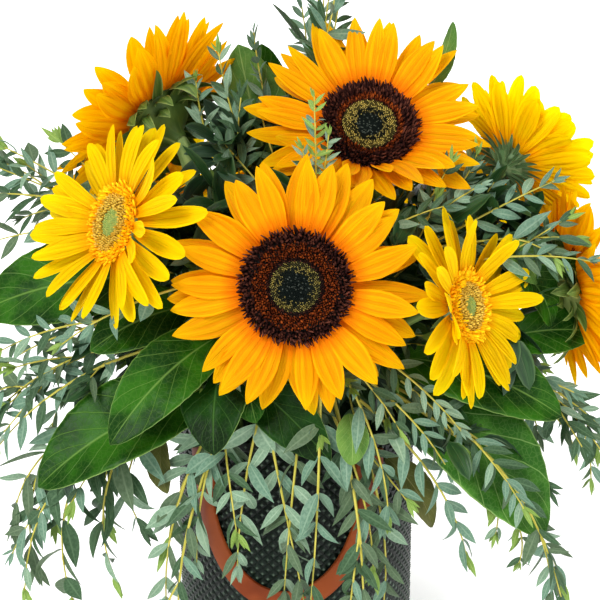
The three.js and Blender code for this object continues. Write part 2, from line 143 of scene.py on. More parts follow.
# Main sprigs by region: root, tip (bearing, reach, height), bow outwards, leaf length and the finish
# of most of their leaves
SPRIGS = {
    "top": [
        ((164, 52, 350), (160, 52, 417), 2, 14, 1), ((160, 50, 350), (146, 50, 408), 2, 13, 2),
        ((170, 56, 340), (176, 54, 396), 3, 13, 0), ((-150, 30, 330), (-140, 40, 384), 3, 12, 0),
        ((10, 68, 312), (8, 75, 366), 1, 9, 4), ((13, 68, 312), (14, 77, 344), 1, 9, 1),
        ((8, 66, 304), (3, 73, 336), 1, 9, 1), ((50, 70, 262), (62, 102, 322), 3, 14, 2),
        ((58, 80, 262), (72, 110, 318), 3, 13, 2), ((52, 76, 255), (54, 100, 304), 3, 14, 3),
        ((70, 90, 262), (80, 122, 306), 3, 14, 0), ((64, 96, 256), (86, 128, 292), 3, 14, 2),
        ((72, 84, 270), (72, 112, 324), 3, 13, 1), ((76, 100, 268), (92, 124, 280), 3, 13, 3),
        ((-58, 39, 300), (-72, 34, 353), 2, 14, 2), ((-30, 35, 300), (-73, 50, 332), 3, 17, 2),
        ((-66, 30, 310), (-88, 46, 378), 2, 14, 1), ((-14, 26, 302), (-72, 22, 343), 3, 13, 2),
        ((-90, 44, 300), (-80, 60, 362), 3, 14, 1),
    ],
    "left": [
        ((-76, 112, 288), (-93, 178, 317), 4, 19, 0), ((-76, 112, 286), (-88, 184, 292), 4, 22, 2),
        ((-74, 117, 276), (-84, 182, 266), 4, 22, 3), ((-75, 108, 296), (-88, 142, 324), 3, 21, 2),
        ((-84, 100, 270), (-100, 176, 282), 4, 21, 2), ((-54, 110, 212), (-76, 188, 142), 10, 20, 0),
        ((-62, 120, 212), (-77, 180, 171), 6, 18, 2), ((-59, 118, 230), (-77, 183, 203), 6, 17, 0),
        ((-66, 116, 224), (-82, 184, 186), 6, 18, 2), ((-37, 112, 258), (-58, 160, 222), 5, 16, 0),
        ((-58, 118, 196), (-73, 170, 65), 24, 27, 3), ((-54, 112, 190), (-68, 150, 43), 24, 28, 2),
        ((-50, 104, 184), (-63, 131, 98), 14, 22, 2), ((-60, 120, 180), (-71, 157, 95), 14, 24, 0),
        ((-62, 130, 170), (-74, 182, 92), 14, 24, 3), ((-54, 118, 168), (-60, 128, 62), 14, 26, 2),
        ((-50, 112, 168), (-57, 112, 96), 12, 22, 2),
    ],
    "front": [
        ((-24, 86, 190), (-31, 114, 90), 12, 22, 1), ((-28, 88, 184), (-41, 119, 61), 15, 24, 1),
        ((-24, 82, 186), (-43, 112, 96), 12, 25, 3), ((-12, 84, 192), (-19, 106, 89), 10, 21, 1),
        ((-13, 84, 186), (3, 98, 64), 13, 22, 1), ((9, 92, 204), (5, 103, 66), 13, 22, 0),
        ((14, 90, 180), (25, 109, 86), 12, 24, 0), ((18, 94, 204), (28, 116, 120), 11, 21, 0),
        ((24, 90, 170), (31, 103, 58), 12, 22, 3), ((2, 86, 176), (-4, 98, 70), 11, 20, 3),
    ],
    "right": [
        ((24, 92, 188), (51, 132, 88), 14, 21, 0), ((38, 96, 188), (71, 175, 56), 16, 22, 0),
        ((56, 138, 136), (58, 142, 98), 4, 14, 4), ((60, 150, 112), (64, 152, 74), 4, 14, 4),
        ((28, 102, 218), (46, 134, 172), 4, 14, 1), ((24, 100, 204), (44, 129, 147), 6, 15, 0),
        ((17, 98, 216), (31, 117, 175), 4, 15, 2), ((36, 104, 200), (50, 128, 158), 4, 13, 2),
        ((83, 150, 182), (90, 190, 100), 10, 18, 0), ((80, 148, 178), (93, 194, 113), 8, 18, 2),
        ((74, 140, 176), (84, 176, 130), 6, 18, 2), ((46, 84, 280), (67, 118, 308), 3, 14, 1),
        ((55, 96, 274), (79, 156, 306), 4, 17, 0), ((58, 126, 268), (71, 182, 265), 4, 16, 0),
        ((62, 130, 264), (76, 166, 286), 3, 15, 2), ((40, 80, 284), (52, 108, 300), 3, 13, 2),
    ],
    "back": [],
}


# ---- places ----

def unit(vectors):
    """The same vectors, one long."""
    vectors = np.asarray(vectors, float)
    return vectors / np.maximum(np.linalg.norm(vectors, axis=-1, keepdims=True), 1e-9)


def place_at(bearing, reach, height):
    """A point from its bearing round the pot's axis, its reach from it and its height."""
    turn = math.radians(bearing)
    return np.array([reach * math.sin(turn), -reach * math.cos(turn), height])


def on_wall(angle, reach, height):
    """A point in metres from its bearing in radians, and its reach and height in millimetres."""
    return reach * math.sin(angle) * MM, -reach * math.cos(angle) * MM, height * MM


def facing(bearing, rise):
    """The direction of a bearing, tipped up by its rise."""
    turn, tip = math.radians(bearing), math.radians(rise)
    return np.array([math.sin(turn) * math.cos(tip), -math.cos(turn) * math.cos(tip), math.sin(tip)])


def on_ball(turn, level):
    """The direction of a point on a ball, from its turn in radians and its level, -1 to 1."""
    flat = math.sqrt(1 - level**2)
    return np.array([math.cos(turn) * flat, math.sin(turn) * flat, level])


def frame_round(look):
    """Two directions square to look: level across, and up the face."""
    across = unit(np.cross(UP, look))
    return across, np.cross(look, across)


def turned_by(side, axis, turn):
    """A direction square to an axis, turned about it."""
    return side * math.cos(turn) + np.cross(axis, side) * math.sin(turn)


def arched_path(start, end, arch, roll=0.0):
    """Start, control point and end of a bowed line, with its directions across and outwards."""
    start, end = place_at(*start), place_at(*end)
    along = unit(end - start)
    middle = (start + end) / 2
    across = unit(np.cross(unit(middle * [1, 1, 0]) + UP, along))
    middle = middle + 2 * arch * np.cross(along, across)
    rolled = turned_by(across, along, math.radians(roll))
    return start, middle, end, rolled, np.cross(along, rolled)


def bezier(start, control, end, q):
    """Points and headings on a bowed line."""
    q = np.asarray(q, float)[..., None]
    points = (1 - q) ** 2 * start + 2 * q * (1 - q) * control + q**2 * end
    return points, unit((1 - q) * (control - start) + q * (end - control))


# ---- joined shapes ----

class Pattern:
    """A net of small faces, flat or rolled into a tube, which is copied over and over.

    Each corner has t across (-1 to 1), s along (0 to 1) and, on a tube, d square to t.
    """

    def __init__(self, along, across, rolled=False, closing=1.0):
        net = bmesh.new()
        bmesh.ops.create_grid(net, x_segments=across, y_segments=along, size=1)
        for vert in net.verts:
            vert.co.y = 1 - 2 * ((1 - vert.co.y) / 2) ** closing
        chart = net.loops.layers.uv.new("blade")
        for face in net.faces:
            for corner in face.loops:
                corner[chart].uv = (corner.vert.co.xy + Vector((1, 1))) / 2
        if rolled:
            for vert in net.verts:
                angle = math.pi * vert.co.x
                vert.co = (math.cos(angle), vert.co.y, math.sin(angle))
            bmesh.ops.remove_doubles(net, verts=net.verts, dist=1e-4)
        net.verts.index_update()
        spots = np.array([vert.co[:] for vert in net.verts])
        self.t, self.s, self.d = spots[:, 0], (spots[:, 1] + 1) / 2, spots[:, 2]
        self.faces = np.array([[corner.vert.index for corner in face.loops] for face in net.faces])
        self.chart = np.array([[corner[chart].uv[:] for corner in face.loops] for face in net.faces])
        net.free()

    def rings(self, first, second):
        """The tube's corners round its axis, from the two directions square to it."""
        return first * self.t[:, None] + second * self.d[:, None]


def fill(target, label, values):
    """Set one property of every member of a mesh's list."""
    kind = np.float32 if values.dtype.kind == "f" else np.int32
    target.foreach_set(label, values.astype(kind).ravel())


class Piece:
    """Gathers copies of patterns, then makes them one object."""

    def __init__(self, name):
        self.name = name
        self.spots, self.faces, self.charts, self.cells, self.tones, self.finish = [], [], [], [], [], []
        self.total = 0

    def add(self, pattern, places, finish=0, tone=0.0, cell=(0, 0, 1, 1), chart=None):
        """Add a copy of the pattern for each row of places. cell is its share of the colour map."""
        count, corners = places.shape[:2]
        faces = pattern.faces[None] + self.total + corners * np.arange(count)[:, None, None]
        charts = np.broadcast_to(pattern.chart, (count,) + pattern.chart.shape)
        cell = np.broadcast_to(np.asarray(cell, float), (count, 4))[:, None, None, :]
        own = charts if chart is None else chart[:, pattern.faces]
        self.spots.append(places.reshape(-1, 3))
        self.faces.append(faces.reshape(-1, 4))
        self.charts.append(charts.reshape(-1, 2))
        self.cells.append((cell[..., :2] + own * cell[..., 2:]).reshape(-1, 2))
        self.tones.append(np.repeat(np.broadcast_to(tone, count), corners))
        self.finish.append(np.repeat(np.broadcast_to(finish, count), len(pattern.faces)))
        self.total += count * corners

    def make(self, finishes, slot, replaces=()):
        """Join everything gathered, and set it on the model."""
        mesh = bpy.data.meshes.new(self.name)
        faces = np.concatenate(self.faces)
        mesh.vertices.add(self.total)
        fill(mesh.vertices, "co", np.concatenate(self.spots) * MM)
        mesh.loops.add(faces.size)
        fill(mesh.loops, "vertex_index", faces)
        mesh.polygons.add(len(faces))
        fill(mesh.polygons, "loop_start", np.arange(len(faces)) * 4)
        fill(mesh.polygons, "material_index", np.concatenate(self.finish))
        for layer, values in (("blade", self.charts), ("OFBake", self.cells)):
            fill(mesh.uv_layers.new(name=layer).uv, "vector", np.concatenate(values))
        fill(mesh.attributes.new("tone", "FLOAT", "POINT").data, "value", np.concatenate(self.tones))
        mesh.update(calc_edges=True)
        mesh.validate()
        mesh.shade_smooth()
        return settle(mesh, finishes, replaces)


def put(name, data):
    """A new object in the scene."""
    thing = bpy.data.objects.new(name, data)
    bpy.context.scene.collection.objects.link(thing)
    return thing


def settle(mesh, finishes, replaces=()):
    """Put a finished mesh in the scene as a piece that rides on the model."""
    piece = put(mesh.name, mesh)
    for finish in finishes:
        mesh.materials.append(finish)
    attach(piece, "root")
    if replaces:
        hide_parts(*replaces)
    return piece


def mesh_of(shape, name):
    """A mesh from a shape that is done with."""
    mesh = bpy.data.meshes.new(name)
    shape.to_mesh(mesh)
    shape.free()
    return mesh


def thicken(piece, thickness, side, finish=0):
    """Give a sheet its thickness, to one side, and its new faces a finish."""
    wall = piece.modifiers.new("thickness", "SOLIDIFY")
    wall.thickness = thickness * MM
    wall.offset = side
    wall.material_offset = finish
    wall.material_offset_rim = finish


def cells_of(numbers, side, low=0.0, share=1.0):
    """Squares of the colour map, side by side with a narrow gap between them, one for each number."""
    numbers = np.asarray(numbers)
    step = share / side
    edge = step * 0.03
    corner = np.stack([numbers % side * step + edge, low + numbers // side * step + edge], 1)
    return np.concatenate([corner, np.full((len(numbers), 2), step - 2 * edge)], 1)


def unpacked(rows):
    """Rows of numbers as columns, of which the first nine make up three points or directions."""
    rows = np.array(rows)
    return rows[:, 0:3], rows[:, 3:6], rows[:, 6:9], *rows[:, 9:].T


def column(values, count):
    """One number for each copy, as a column."""
    return np.broadcast_to(np.asarray(values, float), (count,))[:, None]


def blades(pattern, base, out, top, length, width, outline, lift, curl, twist=0.0, sway=0.0, relief=0.0):
    """Leaves or rays from their base points: out and bending from lift to curl, top side up.

    Angles are in radians. relief raises each corner, in parts of the half width.
    """
    count = len(base)
    out = unit(out)
    side = unit(np.cross(out, top))
    top = np.cross(side, out)
    s = pattern.s[None, :]
    lift, length = column(lift, count), column(length, count)
    bend = column(curl, count) - lift + 1e-6
    heading = lift + bend * s
    reach = length * (np.sin(heading) - np.sin(lift)) / bend
    rise = length * (np.cos(lift) - np.cos(heading)) / bend
    turn = column(twist, count) * s
    half = column(width, count) / 2 * outline(s)
    across = pattern.t[None, :] * half
    proud = np.broadcast_to(np.asarray(relief, float), (count, len(pattern.s))) * half
    level = across * np.cos(turn) - proud * np.sin(turn) + column(sway, count) * length * s**2
    height = across * np.sin(turn) + proud * np.cos(turn)
    forward = (reach - height * np.sin(heading))[..., None]
    upward = (rise + height * np.cos(heading))[..., None]
    return base[:, None] + out[:, None] * forward + top[:, None] * upward + side[:, None] * level[..., None]


def tubes(pattern, start, control, end, thick, thin):
    """Tapering stems on bowed lines."""
    start, control, end = start[:, None], control[:, None], end[:, None]
    spine, heading = bezier(start, control, end, pattern.s)
    flat = np.cross(control - start, end - start)
    straight = np.linalg.norm(flat, axis=-1, keepdims=True) < 1e-3
    flat = np.where(straight, np.cross(end - start, UP + [0.3, 0.1, 0]), flat)
    first = unit(np.cross(np.broadcast_to(flat, heading.shape), heading))
    size = thick[:, None] + (thin - thick)[:, None] * pattern.s
    return spine + size[..., None] * pattern.rings(first, np.cross(heading, first))


def turned(pattern, centre, look, profile):
    """A turned shape about look: profile gives (radius, height) from the pattern's foot to its top."""
    steps = np.linspace(0, 1, len(profile))
    radius, height = (np.interp(pattern.s, steps, part)[:, None] for part in zip(*profile))
    return (centre + pattern.rings(*frame_round(look)) * radius + look * height)[None]


# ---- finishes ----

def shade(colour):
    """A colour as it is seen, made ready for a shader."""
    parts = [value / 255 for value in colour]
    return tuple(p / 12.92 if p <= 0.04045 else ((p + 0.055) / 1.055) ** 2.4 for p in parts) + (1.0,)


class Wiring:
    """Short words for joining shader nodes, in a material or in a group."""

    def __init__(self, tree):
        self.tree = tree

    def feed(self, node, feeds):
        """Give a node's inputs what they take, a node's output or a value. None leaves one as it is."""
        for label, value in feeds.items():
            if isinstance(value, bpy.types.NodeSocket):
                self.tree.links.new(value, node.inputs[label])
            elif value is not None:
                node.inputs[label].default_value = value

    def add(self, kind, feeds=None, **settings):
        """A new node with its settings made and its inputs fed."""
        node = self.tree.nodes.new("ShaderNode" + kind)
        for key, value in settings.items():
            setattr(node, key, value)
        self.feed(node, feeds or {})
        return node

    def maths(self, operation, *values):
        return self.add("Math", dict(enumerate(values)), operation=operation).outputs[0]

    def times(self, first, second):
        return self.maths("MULTIPLY", first, second)

    def off_middle(self, value):
        """How far a value lies from a half."""
        return self.maths("ABSOLUTE", self.maths("SUBTRACT", value, 0.5))

    def mix(self, share, first, second):
        return self.add("Mix", {0: share, 6: first, 7: second}, data_type="RGBA").outputs[2]

    def tint(self, colour, *layers):
        """Mix in more colours, each where its mask is and up to its share."""
        for mask, share, other in layers:
            colour = self.mix(self.times(mask, share), colour, shade(other))
        return colour

    def ramp(self, value, *stops):
        """Colours that run into one another, each from its own place between 0 and 1."""
        node = self.add("ValToRGB", {0: value})
        parts = node.color_ramp.elements
        while len(parts) < len(stops):
            parts.new(0.5)
        for part, (position, colour) in zip(parts, stops):
            part.position = position
            part.color = shade(colour)
        return node.outputs[0]

    def between(self, value, low, high):
        """0 below low and 1 above high, with a soft step."""
        feeds = {0: value, 1: low, 2: high}
        return self.add("MapRange", feeds, interpolation_type="SMOOTHSTEP").outputs[0]

    def noise(self, vector, scale, detail=2.0):
        return self.add("TexNoise", {"Vector": vector, "Scale": scale, "Detail": detail}).outputs[0]

    def cells(self, vector, scale, feature="F1"):
        feeds = {"Vector": vector, "Scale": scale}
        return self.add("TexVoronoi", feeds, feature=feature).outputs["Distance"]

    def bump(self, height, strength, distance, normal=None):
        feeds = {"Strength": strength, "Distance": distance, "Height": height, "Normal": normal}
        return self.add("Bump", feeds).outputs[0]

    def joined(self, *parts):
        """Numbers as one vector."""
        return self.add("CombineXYZ", dict(enumerate(parts))).outputs[0]

    def parted(self, vector):
        """A vector as its three numbers."""
        return self.add("SeparateXYZ", {0: vector}).outputs

    def place(self):
        """Object coordinates through a mapping."""
        spot = self.add("TexCoord").outputs["Object"]
        return self.add("Mapping", {"Vector": spot}).outputs[0]

    def chart(self):
        """How far across and along its own leaf, ray or stem a point lies."""
        return self.parted(self.add("UVMap", uv_map="blade").outputs[0])[:2]

    def tone(self):
        return self.add("Attribute", attribute_name="tone").outputs["Fac"]

    def back(self):
        """1 on the back of a face."""
        return self.add("NewGeometry").outputs["Backfacing"]

    def use(self, group, **values):
        """The outputs of a group that is given these values."""
        feeds = {label.capitalize(): value for label, value in values.items()}
        return self.add("Group", feeds, node_tree=group).outputs


def wire_streaks(w, across, along, tone, lines):
    spot = w.joined(w.times(across, lines), w.times(along, 1.6), w.times(tone, 37.0))
    return [w.between(w.noise(spot, 1.0, 3.0), 0.36, 0.66)]


def wire_veins(w, across, along, ribs, slant, fineness):
    aside = w.times(w.off_middle(across), 2.0)
    bent = w.times(w.maths("POWER", aside, 0.8), slant)
    rib = w.maths("FRACT", w.times(w.maths("SUBTRACT", along, bent), ribs))
    midrib = w.between(aside, 0.055, 0.0)
    side = w.between(w.off_middle(rib), fineness, 0.0)
    return [w.maths("MAXIMUM", midrib, w.times(side, 0.7)), midrib]


def wire_mottle(w, vector, scale, first, second, amount):
    patch = w.between(w.noise(vector, scale, 3.0), 0.38, 0.64)
    return [w.mix(w.times(patch, amount), first, second)]


# The kinds of those sockets that don't hold a plain number
SOCKETS = {"Vector": "Vector", "First": "Color", "Second": "Color", "Colour": "Color"}


def effect(name, inputs, outputs, wire):
    """A shader group that several finishes use, each with its own values."""
    tree = bpy.data.node_groups.new(name, "ShaderNodeTree")
    for way, labels in (("INPUT", inputs), ("OUTPUT", outputs)):
        for label in labels.split():
            kind = "NodeSocket" + SOCKETS.get(label, "Float")
            tree.interface.new_socket(name=label, in_out=way, socket_type=kind)
    wiring = Wiring(tree)
    given = tree.nodes.new("NodeGroupInput").outputs[:-1]
    wiring.feed(tree.nodes.new("NodeGroupOutput"), dict(enumerate(wire(wiring, *given))))
    return tree


STREAKS = effect("streaks along a blade", "Across Along Tone Lines", "Streak", wire_streaks)
VEINS = effect("midrib and side veins", "Across Along Ribs Slant Fineness", "Veins Midrib", wire_veins)
MOTTLE = effect("soft mottling", "Vector Scale First Second Amount", "Colour", wire_mottle)


class Finish(Wiring):
    """A material being put together. Its colours are given as they are seen."""

    def __init__(self, name, roughness, specular):
        self.material = bpy.data.materials.new(name)
        self.material.use_nodes = True
        super().__init__(self.material.node_tree)
        self.shader = self.tree.nodes["Principled BSDF"]
        self.feed(self.shader, {"Roughness": roughness, "Specular IOR Level": specular})

    def mottled(self, spot, scale, first, second, amount=1.0):
        """One colour with soft patches of another."""
        first, second = shade(first), shade(second)
        made = self.use(MOTTLE, vector=spot, scale=scale, first=first, second=second, amount=amount)
        return made["Colour"]

    def done(self, colour, normal=None, roughness=None, glow=0.0):
        """The material, which lets light through if it glows."""
        self.feed(self.shader, {"Base Color": colour, "Normal": normal, "Roughness": roughness})
        if glow:
            through = self.add("BsdfTranslucent", {"Color": colour, "Normal": normal})
            both = self.add("MixShader", {0: glow, 1: self.shader.outputs[0], 2: through.outputs[0]})
            self.feed(self.tree.nodes["Material Output"], {"Surface": both.outputs[0]})
        return self.material


def ray_finish(name, root, body, tip, streak_and_shade, lines, depth):
    """Rays: streaked along their length and creased, with painted shade in the creases, and a deeper root.
    """
    f = Finish(name, 0.6, 0.06)
    across, along = f.chart()
    tone = f.tone()
    streak = f.use(STREAKS, across=across, along=along, tone=tone, lines=lines)["Streak"]
    fold = f.maths("COSINE", f.times(across, 6.0 * math.pi))
    # Painted shade: each ray is darkened in its creases with the same darker colour that runs in its
    # streaks, and the bump below sinks the creases too
    valley = f.times(f.between(fold, 0.1, -1.0), f.between(along, 0.98, 0.55))
    colour = f.tint(
        f.ramp(along, (0.0, root), (0.34, body), (0.72, body), (1.0, tip)),
        (streak, depth, streak_and_shade), (valley, depth * 1.2, streak_and_shade), (tone, depth * 0.8, streak_and_shade),
        (f.between(along, 0.4, 0.0), 0.7, root), (f.back(), 0.25, tip))
    height = f.maths("ADD", f.times(streak, 0.35), f.times(valley, -1.0))
    return f.done(colour, f.bump(height, 0.6, 0.0008), glow=0.42)


def leafy_finish(name, body, light, vein, roughness=0.55):
    """Bracts and small leaves: streaked along their length, with a pale midrib and rim."""
    f = Finish(name, roughness, 0.3)
    across, along = f.chart()
    streak = f.use(STREAKS, across=across, along=along, tone=0.37, lines=9.0)["Streak"]
    midrib = f.use(VEINS, across=across, along=along, ribs=8.0, slant=0.3, fineness=0.06)["Midrib"]
    rim = f.between(f.off_middle(across), 0.34, 0.5)
    colour = f.tint(shade(body), (streak, 0.6, light), (f.maths("MAXIMUM", midrib, rim), 0.5, vein))
    return f.done(colour, f.bump(streak, 0.25, 0.0005), glow=0.12)


def stem_finish(name, body, light, lines=8.0):
    f = Finish(name, 0.55, 0.3)
    across, along = f.chart()
    streak = f.use(STREAKS, across=across, along=f.times(along, 3.0), tone=0.1, lines=lines)["Streak"]
    return f.done(f.mix(streak, shade(body), shade(light)), f.bump(streak, 0.4, 0.0006))


def floret_finish(name, foot, waist, tip, odd, low=0.3, high=1.0):
    """Florets: dark at the foot. The more their tone is above low, the odder their tips."""
    f = Finish(name, 0.75, 0.1)
    along = f.chart()[1]
    stray = f.times(f.between(f.tone(), low, high), f.between(along, 0.25, 0.7))
    colour = f.tint(f.ramp(along, (0.1, foot), (0.45, waist), (0.8, tip)), (stray, 0.85, odd))
    return f.done(colour, f.bump(along, 0.2, 0.0005))


def salal_finish(name, body, light, vein, roughness=0.38):
    """Broad leather leaves: pale midrib and ribs, a fine net between them, and a thin pale edge."""
    f = Finish(name, roughness, 0.09)
    across, along = f.chart()
    veins = f.use(VEINS, across=across, along=along, ribs=7.0, slant=0.34, fineness=0.05)["Veins"]
    spot = f.place()
    web = f.between(f.cells(spot, 330.0, "DISTANCE_TO_EDGE"), 0.11, 0.0)
    lines = f.maths("MAXIMUM", veins, f.times(web, 0.15))
    rim = f.between(f.off_middle(across), 0.478, 0.5)
    colour = f.tint(f.mottled(spot, 38.0, body, light, 0.75), (lines, 0.62, vein), (rim, 0.6, vein))
    swell = f.noise(spot, 90.0)
    normal = f.bump(f.times(lines, -1.0), 0.4, 0.0008, f.bump(swell, 0.5, 0.002))
    return f.done(colour, normal, f.maths("ADD", f.times(swell, 0.2), roughness - 0.08))


def eucalyptus_finish(name, body, pale):
    """Narrow leaves with a bloom on them: speckled, with a pale midrib and edge, and paler underneath."""
    f = Finish(name, 0.5, 0.2)
    across, along = f.chart()
    spot = f.joined(f.times(across, 5.0), f.times(along, 14.0))
    lines = f.use(VEINS, across=across, along=along, ribs=9.0, slant=0.5, fineness=0.09)["Veins"]
    aside = f.off_middle(across)
    midrib, edge = f.between(aside, 0.09, 0.01), f.between(aside, 0.42, 0.5)
    colour = f.tint(
        f.mottled(spot, 1.0, body, pale, 0.4),
        (lines, 0.18, pale), (midrib, 0.75, pale), (edge, 0.5, pale), (f.back(), 0.35, pale))
    return f.done(colour, glow=0.1)


def pot_finish():
    """Dark glaze, with painted shade in the valleys between the small pyramids and painted highlights on
    their tips.
    """
    f = Finish("pot dark lattice", 0.3, 0.2)
    spot = f.place()
    left, ahead, height = f.parted(spot)
    round_it = f.times(f.maths("ARCTAN2", ahead, left), POT["columns"] / math.tau)
    low, high = (level * MM for level in POT["pressed"])
    up_it = f.times(f.maths("SUBTRACT", height, low), POT["rows"] / (high - low))
    lines = [f.off_middle(f.maths("FRACT", f.maths(way, round_it, up_it))) for way in ("ADD", "SUBTRACT")]
    nearest = f.maths("MINIMUM", *lines)
    painted_glint_strength = f.maths("ADD", f.times(f.between(f.noise(spot, 60.0, 4.0), 0.3, 0.7), 0.5), 0.2)
    # Painted shade darkens the valleys between the pyramids, and painted highlights pale their tips,
    # stronger in patches
    colour = f.tint(
        f.mottled(spot, 22.0, (8, 18, 13), (20, 33, 25)),
        (f.between(nearest, 0.16, 0.02), 0.6, (4, 9, 7)),
        (f.between(nearest, 0.27, 0.46), painted_glint_strength, (112, 132, 114)))
    return f.done(colour, f.bump(f.noise(spot, 900.0), 0.08, 0.0003))


def strap_finish():
    f = Finish("strap terracotta", 0.42, 0.12)
    spot = f.place()
    wear = f.between(f.noise(spot, 210.0, 5.0), 0.6, 0.82)
    colour = f.tint(f.mottled(spot, 30.0, (112, 47, 18), (142, 68, 30)), (wear, 0.3, (144, 72, 40)))
    normal = f.bump(f.noise(spot, 700.0, 3.0), 0.15, 0.0004)
    return f.done(colour, normal, f.maths("ADD", f.times(wear, 0.25), 0.38))


def foam_finish():
    f = Finish("foam wet green", 0.9, 0.2)
    spot = f.place()
    colour = f.mottled(spot, 60.0, (30, 58, 38), (46, 78, 50))
    return f.done(colour, f.bump(f.cells(spot, 1400.0), 0.6, 0.0006))


def floor_finish():
    f = Finish("floor white", 0.9, 0.1)
    f.feed(f.shader, {"Emission Color": shade((255, 255, 255)), "Emission Strength": 0.3})
    return f.done(f.mottled(f.place(), 3.0, (250, 250, 250), (253, 253, 252)))


SUN_RAY = ray_finish(
    "sunflower ray", (246, 122, 0), (255, 194, 0), (255, 210, 0), (244, 116, 0), 13.0, 0.28)
GERBERA_RAY = ray_finish(
    "gerbera ray", (255, 170, 0), (255, 220, 0), (255, 228, 0), (252, 172, 0), 7.0, 0.2)
SUN_BRACT = leafy_finish("sunflower bract", (64, 90, 30), (108, 132, 56), (166, 182, 104))
GERBERA_BRACT = leafy_finish("gerbera bract", (74, 108, 64), (120, 148, 98), (158, 178, 126))
SUN_STEM = stem_finish("sunflower stem", (98, 126, 62), (146, 168, 102))
GERBERA_STEM = stem_finish("gerbera stem", (84, 118, 56), (124, 152, 84))
# Florets: the colours of foot, waist, tip and odd tips, and the tones between which tips turn odd
SUN_FLORETS = [
    floret_finish("florets " + look, *colours) for look, *colours in (
        ("open", (14, 5, 4), (34, 13, 10), (46, 20, 17), (112, 62, 46)),
        ("rust", (18, 6, 4), (66, 24, 8), (104, 42, 16), (176, 84, 30)),
        ("gold tipped", (14, 14, 8), (36, 34, 18), (255, 234, 128), (44, 40, 24), 0.5, 0.6),
        ("in bud", (6, 9, 9), (18, 25, 23), (34, 44, 40), (132, 142, 130), 0.8, 0.95),
        ("with gold flecks", (10, 12, 10), (24, 28, 22), (36, 42, 34), (214, 194, 108), 0.55, 0.75))]
GERBERA_FLORETS = [
    floret_finish("gerbera florets " + look, *colours) for look, *colours in (
        ("open", (236, 158, 0), (253, 196, 0), (255, 216, 20), (255, 178, 10)),
        ("dotted", (70, 48, 8), (176, 134, 30), (252, 220, 96), (206, 160, 40)),
        ("in bud", (110, 140, 50), (150, 176, 84), (176, 196, 112), (206, 206, 110)))]
SALAL_TOP = salal_finish("broad leaf top", (14, 50, 4), (44, 98, 12), (108, 144, 66))
# Two copies of the top finish with light or shade painted in: fresh is paler, as painted light, and deep is
# darker, as painted shade
SALAL_PAINTED_LIGHT = salal_finish("broad leaf painted light", (34, 78, 16), (70, 122, 38), (140, 174, 100))
SALAL_PAINTED_SHADE = salal_finish("broad leaf painted shade", (8, 30, 3), (20, 60, 7), (66, 104, 44))
SALAL_UNDER = salal_finish("broad leaf underside", (70, 108, 44), (106, 140, 62), (146, 170, 100), 0.5)
SALAL_OLIVE = salal_finish("broad leaf olive", (70, 76, 34), (104, 106, 54), (136, 132, 84), 0.5)
SHADED = [
    leafy_finish("shaded leaf deep", (16, 40, 20), (28, 58, 28), (60, 88, 52), 0.4),
    leafy_finish("shaded leaf mid", (26, 58, 26), (44, 82, 38), (84, 112, 66), 0.4),
    leafy_finish("shaded leaf grey", (36, 62, 42), (54, 84, 58), (88, 112, 84)),
]
EUCALYPTUS = [
    eucalyptus_finish("eucalyptus blue", (88, 122, 100), (132, 160, 136)),
    eucalyptus_finish("eucalyptus silver", (110, 140, 114), (154, 178, 150)),
    # deep and shade are darker copies that paint shade on leaves; the sprigs and masses deal them out among
    # the others
    eucalyptus_finish("eucalyptus painted deep shade", (50, 78, 50), (84, 112, 80)),
    eucalyptus_finish("eucalyptus painted shade", (72, 94, 66), (106, 126, 96)),
    eucalyptus_finish("eucalyptus young", (112, 144, 60), (152, 178, 96)),
    eucalyptus_finish("eucalyptus olive", (96, 106, 52), (130, 136, 80)),
]
TWIG = stem_finish("eucalyptus twig", (160, 154, 50), (196, 186, 84), 3.0)


# ---- outlines ----
# How wide a blade is along its length: 0 at the base and 1 at the tip

def sun_outline(s):
    return (0.42 + 0.58 * np.clip(s / 0.5, 0, 1) ** 0.8) * np.maximum(1 - s**3.4, 0) ** 0.85 + 0.02


def gerbera_outline(s):
    return (0.34 + 0.66 * np.clip(s / 0.55, 0, 1) ** 0.8) * np.maximum(1 - s**6.0, 0) ** 0.55 + 0.02


def bract_outline(s):
    return np.maximum(1 - s, 0) ** 0.9 * (0.7 + 1.3 * s) + 0.02


def swelling(s, lean, slimness):
    """Pointed at both ends and widest between them: nearer the base, the smaller lean is."""
    return np.maximum(np.sin(math.pi * np.clip(s, 0.0, 1.0) ** lean), 0.0) ** slimness


def willow_outline(s):
    return swelling(s, 0.82, 1.05) + 0.05 * (1 - s) + 0.015


def salal_outline(s):
    return swelling(s, 0.92, 0.64) + 0.012


# ---- blooms ----

RAY = Pattern(9, 6, closing=1.5)
BRACT = Pattern(6, 2)
FLORET = Pattern(3, 5, rolled=True)
DOME = Pattern(14, 28, rolled=True)
STALK = Pattern(36, 16, rolled=True)

